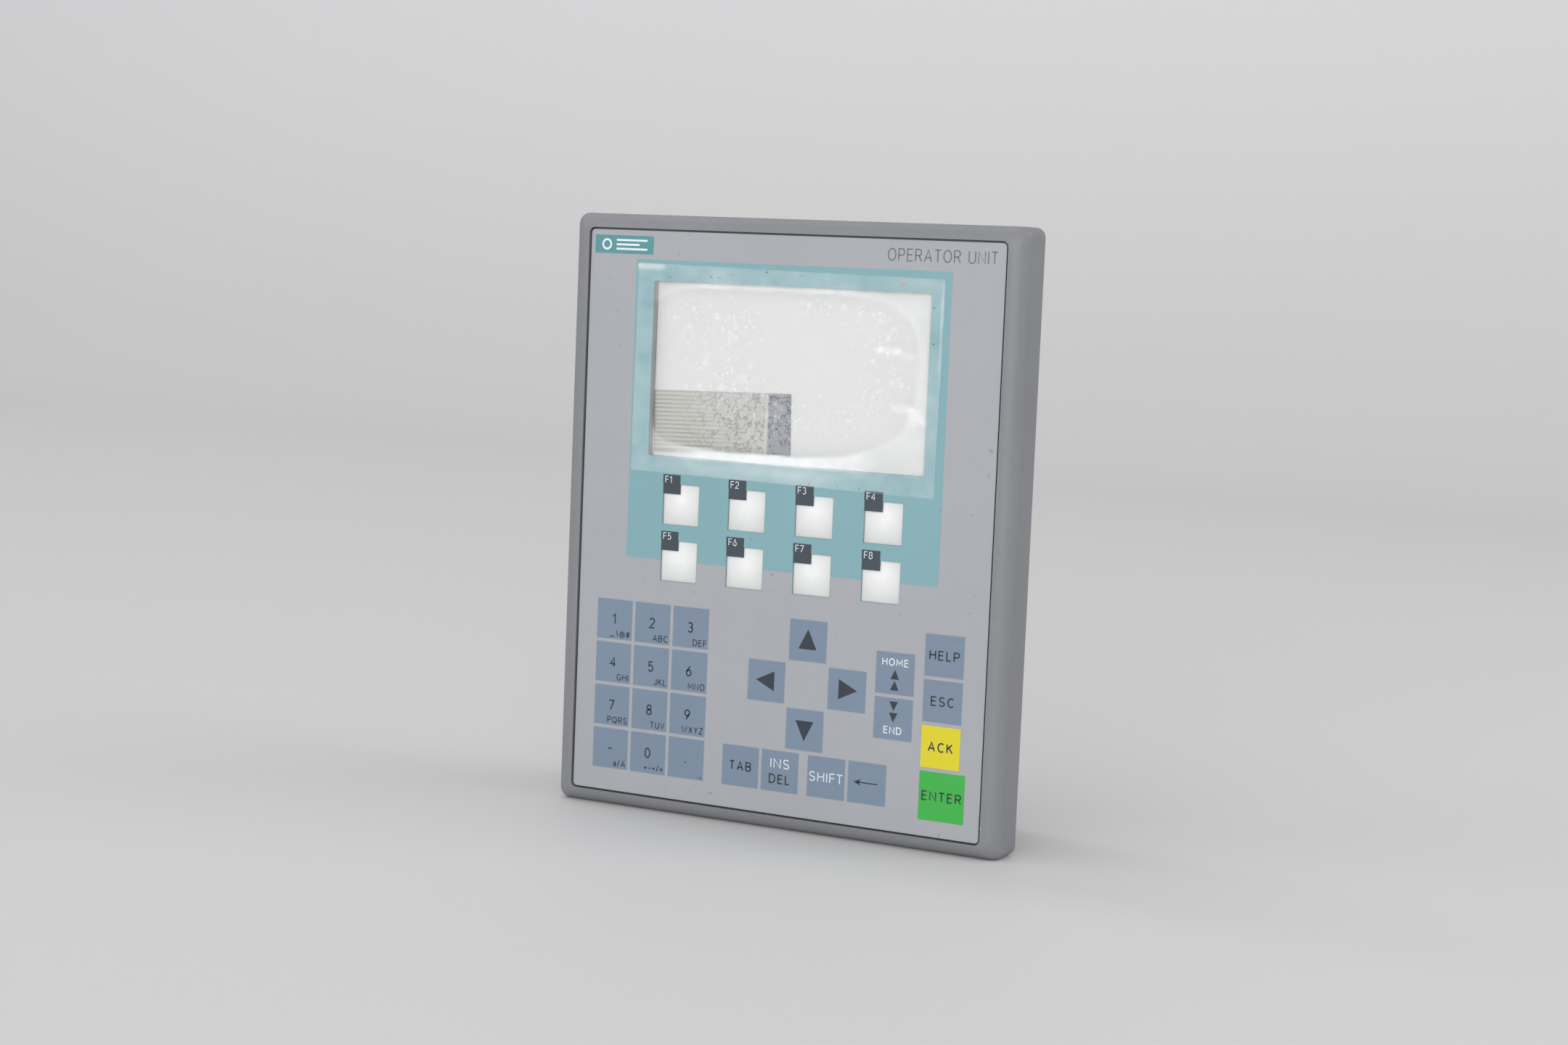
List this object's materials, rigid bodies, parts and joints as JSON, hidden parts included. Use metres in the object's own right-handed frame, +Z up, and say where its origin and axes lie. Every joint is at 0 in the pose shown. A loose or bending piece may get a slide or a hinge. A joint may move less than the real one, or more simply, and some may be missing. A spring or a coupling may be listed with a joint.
{
  "type": "keypad operator panel",
  "caption": "Cabinet-mounted operator panel with a printed keypad of travelling keys, function keys, a film-covered display window and a stepped rear housing.",
  "frame": {"origin": "centre of the panel cut-out on the seal's rear face, where it meets the cabinet panel", "axes": "+X right seen from the operator, +Z up, front facing -Y, housing towards +Y"},
  "size_m": [0.152, 0.05, 0.185],
  "materials": {
    "frame_plastic": "fine satin grain",
    "foil": "printed satin polyester",
    "window": "clear polyester pane",
    "film": "thin milky protective film",
    "spacer": "plain",
    "dome_metal": "plain",
    "circuit_film": "printed polyester",
    "white_sheet": "smooth",
    "sheet_metal": "plain",
    "display_glass": "polished",
    "light_guide": "smooth",
    "circuit_board": "solder mask",
    "chip_plastic": "moulded",
    "screw_steel": "zinc plated",
    "terminal_green": "moulded",
    "connector_metal": "tin plated",
    "earth_brass": "plain",
    "housing_plastic": "fine grain",
    "seal_rubber": "matt",
    "key_blue": "printed satin polyester",
    "key_yellow": "printed satin polyester",
    "key_green": "printed satin polyester",
    "key_white": "printed satin polyester"
  },
  "bodies": {
    "panel": {"front_frame": "frame_plastic", "keypad_foil": "foil", "display_window": "window", "protective_film": "film", "key_spacer": "spacer", "snap_domes": "dome_metal", "keypad_circuit": "circuit_film", "keypad_tail": "circuit_film", "display_cover_sheet": "white_sheet", "display_tray": "sheet_metal", "display_glass": "display_glass", "backlight": "light_guide", "display_board": "circuit_board", "display_screws": "screw_steel", "display_ribbon": "circuit_film", "main_board": "circuit_board", "board_components": "chip_plastic", "board_screws": "screw_steel", "power_socket": "terminal_green", "power_plug": "terminal_green", "serial_port": "connector_metal", "usb_port": "connector_metal", "earth_terminal": "earth_brass", "rear_cover": "housing_plastic", "cover_screws": "screw_steel", "panel_seal": "seal_rubber"},
    "key_1": {"key_1": "key_blue"},
    "key_2": {"key_2": "key_blue"},
    "key_3": {"key_3": "key_blue"},
    "key_4": {"key_4": "key_blue"},
    "key_5": {"key_5": "key_blue"},
    "key_6": {"key_6": "key_blue"},
    "key_7": {"key_7": "key_blue"},
    "key_8": {"key_8": "key_blue"},
    "key_9": {"key_9": "key_blue"},
    "key_minus": {"key_minus": "key_blue"},
    "key_0": {"key_0": "key_blue"},
    "key_point": {"key_point": "key_blue"},
    "key_up": {"key_up": "key_blue"},
    "key_left": {"key_left": "key_blue"},
    "key_right": {"key_right": "key_blue"},
    "key_down": {"key_down": "key_blue"},
    "key_home": {"key_home": "key_blue"},
    "key_end": {"key_end": "key_blue"},
    "key_tab": {"key_tab": "key_blue"},
    "key_insert": {"key_insert": "key_blue"},
    "key_shift": {"key_shift": "key_blue"},
    "key_back": {"key_back": "key_blue"},
    "key_help": {"key_help": "key_blue"},
    "key_escape": {"key_escape": "key_blue"},
    "key_acknowledge": {"key_acknowledge": "key_yellow"},
    "key_enter": {"key_enter": "key_green"},
    "key_f1": {"key_f1": "key_white"},
    "key_f2": {"key_f2": "key_white"},
    "key_f3": {"key_f3": "key_white"},
    "key_f4": {"key_f4": "key_white"},
    "key_f5": {"key_f5": "key_white"},
    "key_f6": {"key_f6": "key_white"},
    "key_f7": {"key_f7": "key_white"},
    "key_f8": {"key_f8": "key_white"}
  },
  "joints": [
    {"name": "key_1_press", "type": "slide", "parent": "panel", "child": "key_1", "axis": [0, 1, 0], "range_m": [0, 0.0004], "stiffness_N_per_m": 1500, "springref_m": -0.0004, "deforming": ["snap_domes"]},
    {"name": "key_2_press", "type": "slide", "parent": "panel", "child": "key_2", "axis": [0, 1, 0], "range_m": [0, 0.0004], "stiffness_N_per_m": 1500, "springref_m": -0.0004, "deforming": ["snap_domes"]},
    {"name": "key_3_press", "type": "slide", "parent": "panel", "child": "key_3", "axis": [0, 1, 0], "range_m": [0, 0.0004], "stiffness_N_per_m": 1500, "springref_m": -0.0004, "deforming": ["snap_domes"]},
    {"name": "key_4_press", "type": "slide", "parent": "panel", "child": "key_4", "axis": [0, 1, 0], "range_m": [0, 0.0004], "stiffness_N_per_m": 1500, "springref_m": -0.0004, "deforming": ["snap_domes"]},
    {"name": "key_5_press", "type": "slide", "parent": "panel", "child": "key_5", "axis": [0, 1, 0], "range_m": [0, 0.0004], "stiffness_N_per_m": 1500, "springref_m": -0.0004, "deforming": ["snap_domes"]},
    {"name": "key_6_press", "type": "slide", "parent": "panel", "child": "key_6", "axis": [0, 1, 0], "range_m": [0, 0.0004], "stiffness_N_per_m": 1500, "springref_m": -0.0004, "deforming": ["snap_domes"]},
    {"name": "key_7_press", "type": "slide", "parent": "panel", "child": "key_7", "axis": [0, 1, 0], "range_m": [0, 0.0004], "stiffness_N_per_m": 1500, "springref_m": -0.0004, "deforming": ["snap_domes"]},
    {"name": "key_8_press", "type": "slide", "parent": "panel", "child": "key_8", "axis": [0, 1, 0], "range_m": [0, 0.0004], "stiffness_N_per_m": 1500, "springref_m": -0.0004, "deforming": ["snap_domes"]},
    {"name": "key_9_press", "type": "slide", "parent": "panel", "child": "key_9", "axis": [0, 1, 0], "range_m": [0, 0.0004], "stiffness_N_per_m": 1500, "springref_m": -0.0004, "deforming": ["snap_domes"]},
    {"name": "key_minus_press", "type": "slide", "parent": "panel", "child": "key_minus", "axis": [0, 1, 0], "range_m": [0, 0.0004], "stiffness_N_per_m": 1500, "springref_m": -0.0004, "deforming": ["snap_domes"]},
    {"name": "key_0_press", "type": "slide", "parent": "panel", "child": "key_0", "axis": [0, 1, 0], "range_m": [0, 0.0004], "stiffness_N_per_m": 1500, "springref_m": -0.0004, "deforming": ["snap_domes"]},
    {"name": "key_point_press", "type": "slide", "parent": "panel", "child": "key_point", "axis": [0, 1, 0], "range_m": [0, 0.0004], "stiffness_N_per_m": 1500, "springref_m": -0.0004, "deforming": ["snap_domes"]},
    {"name": "key_up_press", "type": "slide", "parent": "panel", "child": "key_up", "axis": [0, 1, 0], "range_m": [0, 0.0004], "stiffness_N_per_m": 1500, "springref_m": -0.0004, "deforming": ["snap_domes"]},
    {"name": "key_left_press", "type": "slide", "parent": "panel", "child": "key_left", "axis": [0, 1, 0], "range_m": [0, 0.0004], "stiffness_N_per_m": 1500, "springref_m": -0.0004, "deforming": ["snap_domes"]},
    {"name": "key_right_press", "type": "slide", "parent": "panel", "child": "key_right", "axis": [0, 1, 0], "range_m": [0, 0.0004], "stiffness_N_per_m": 1500, "springref_m": -0.0004, "deforming": ["snap_domes"]},
    {"name": "key_down_press", "type": "slide", "parent": "panel", "child": "key_down", "axis": [0, 1, 0], "range_m": [0, 0.0004], "stiffness_N_per_m": 1500, "springref_m": -0.0004, "deforming": ["snap_domes"]},
    {"name": "key_home_press", "type": "slide", "parent": "panel", "child": "key_home", "axis": [0, 1, 0], "range_m": [0, 0.0004], "stiffness_N_per_m": 1500, "springref_m": -0.0004, "deforming": ["snap_domes"]},
    {"name": "key_end_press", "type": "slide", "parent": "panel", "child": "key_end", "axis": [0, 1, 0], "range_m": [0, 0.0004], "stiffness_N_per_m": 1500, "springref_m": -0.0004, "deforming": ["snap_domes"]},
    {"name": "key_tab_press", "type": "slide", "parent": "panel", "child": "key_tab", "axis": [0, 1, 0], "range_m": [0, 0.0004], "stiffness_N_per_m": 1500, "springref_m": -0.0004, "deforming": ["snap_domes"]},
    {"name": "key_insert_press", "type": "slide", "parent": "panel", "child": "key_insert", "axis": [0, 1, 0], "range_m": [0, 0.0004], "stiffness_N_per_m": 1500, "springref_m": -0.0004, "deforming": ["snap_domes"]},
    {"name": "key_shift_press", "type": "slide", "parent": "panel", "child": "key_shift", "axis": [0, 1, 0], "range_m": [0, 0.0004], "stiffness_N_per_m": 1500, "springref_m": -0.0004, "deforming": ["snap_domes"]},
    {"name": "key_back_press", "type": "slide", "parent": "panel", "child": "key_back", "axis": [0, 1, 0], "range_m": [0, 0.0004], "stiffness_N_per_m": 1500, "springref_m": -0.0004, "deforming": ["snap_domes"]},
    {"name": "key_help_press", "type": "slide", "parent": "panel", "child": "key_help", "axis": [0, 1, 0], "range_m": [0, 0.0004], "stiffness_N_per_m": 1500, "springref_m": -0.0004, "deforming": ["snap_domes"]},
    {"name": "key_escape_press", "type": "slide", "parent": "panel", "child": "key_escape", "axis": [0, 1, 0], "range_m": [0, 0.0004], "stiffness_N_per_m": 1500, "springref_m": -0.0004, "deforming": ["snap_domes"]},
    {"name": "key_acknowledge_press", "type": "slide", "parent": "panel", "child": "key_acknowledge", "axis": [0, 1, 0], "range_m": [0, 0.0004], "stiffness_N_per_m": 1500, "springref_m": -0.0004, "deforming": ["snap_domes"]},
    {"name": "key_enter_press", "type": "slide", "parent": "panel", "child": "key_enter", "axis": [0, 1, 0], "range_m": [0, 0.0004], "stiffness_N_per_m": 1500, "springref_m": -0.0004, "deforming": ["snap_domes"]},
    {"name": "key_f1_press", "type": "slide", "parent": "panel", "child": "key_f1", "axis": [0, 1, 0], "range_m": [0, 0.0004], "stiffness_N_per_m": 1500, "springref_m": -0.0004, "deforming": ["snap_domes"]},
    {"name": "key_f2_press", "type": "slide", "parent": "panel", "child": "key_f2", "axis": [0, 1, 0], "range_m": [0, 0.0004], "stiffness_N_per_m": 1500, "springref_m": -0.0004, "deforming": ["snap_domes"]},
    {"name": "key_f3_press", "type": "slide", "parent": "panel", "child": "key_f3", "axis": [0, 1, 0], "range_m": [0, 0.0004], "stiffness_N_per_m": 1500, "springref_m": -0.0004, "deforming": ["snap_domes"]},
    {"name": "key_f4_press", "type": "slide", "parent": "panel", "child": "key_f4", "axis": [0, 1, 0], "range_m": [0, 0.0004], "stiffness_N_per_m": 1500, "springref_m": -0.0004, "deforming": ["snap_domes"]},
    {"name": "key_f5_press", "type": "slide", "parent": "panel", "child": "key_f5", "axis": [0, 1, 0], "range_m": [0, 0.0004], "stiffness_N_per_m": 1500, "springref_m": -0.0004, "deforming": ["snap_domes"]},
    {"name": "key_f6_press", "type": "slide", "parent": "panel", "child": "key_f6", "axis": [0, 1, 0], "range_m": [0, 0.0004], "stiffness_N_per_m": 1500, "springref_m": -0.0004, "deforming": ["snap_domes"]},
    {"name": "key_f7_press", "type": "slide", "parent": "panel", "child": "key_f7", "axis": [0, 1, 0], "range_m": [0, 0.0004], "stiffness_N_per_m": 1500, "springref_m": -0.0004, "deforming": ["snap_domes"]},
    {"name": "key_f8_press", "type": "slide", "parent": "panel", "child": "key_f8", "axis": [0, 1, 0], "range_m": [0, 0.0004], "stiffness_N_per_m": 1500, "springref_m": -0.0004, "deforming": ["snap_domes"]}
  ]
}
